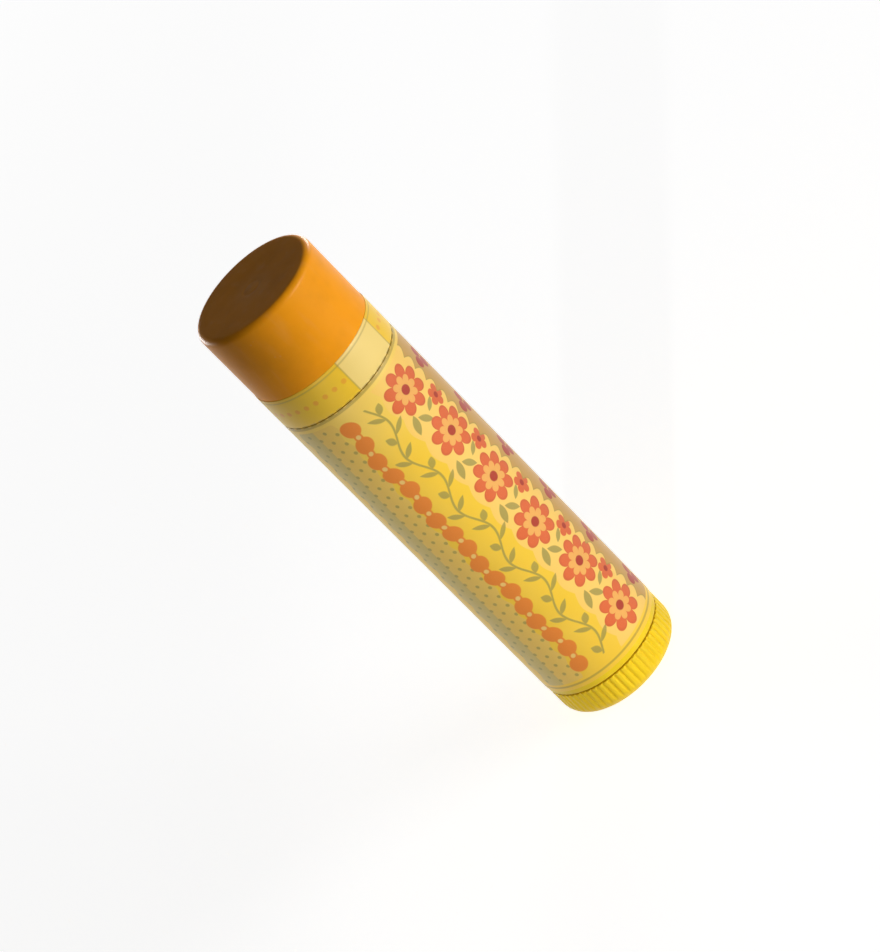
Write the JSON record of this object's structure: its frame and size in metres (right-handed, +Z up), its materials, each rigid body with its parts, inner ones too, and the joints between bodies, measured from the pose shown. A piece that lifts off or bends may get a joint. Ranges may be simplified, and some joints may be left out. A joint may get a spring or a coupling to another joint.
{
  "type": "lip balm stick",
  "caption": "Twist-up lip balm stick with a pull-off cap, a wrapped barrel and a ribbed wheel that turns a screw to raise the wax.",
  "frame": {"origin": "centre of the foot, on the plane that the stick stands on", "axes": "+Z up along the stick to the cap's top, -Y out of the front of the label, +X to its right"},
  "size_m": [0.0166, 0.0166, 0.0674],
  "materials": {
    "cap_plastic": "satin orange moulding",
    "label_film": "printed film, semi-gloss",
    "yellow_plastic": "semi-gloss yellow moulding",
    "natural_plastic": "undyed moulding",
    "wax": "pale wax, slightly translucent"
  },
  "bodies": {
    "barrel": {"barrel": "yellow_plastic", "wrap_label": "label_film"},
    "wheel": {"twist_wheel": "yellow_plastic", "screw_spindle": "natural_plastic"},
    "carrier": {"elevator": "natural_plastic", "balm_stick": "wax"},
    "cap": {"cap": "cap_plastic", "tear_band": "label_film"}
  },
  "joints": [
    {"name": "wheel_turn", "type": "hinge", "parent": "barrel", "child": "wheel", "pos_m": [0, 0, 0.0021], "axis": [0, 0, 1], "range_deg": [0, 3240]},
    {"name": "elevator_lift", "type": "slide", "parent": "barrel", "child": "carrier", "axis": [0, 0, 1], "range_m": [0, 0.0432]},
    {"name": "cap_pull", "type": "slide", "parent": "carrier", "child": "cap", "axis": [0, 0, 1], "range_m": [0, 0.04]}
  ],
  "couplings": [
    {"joint": "wheel_turn", "follows": "elevator_lift", "rad_per_m": 1309}
  ]
}
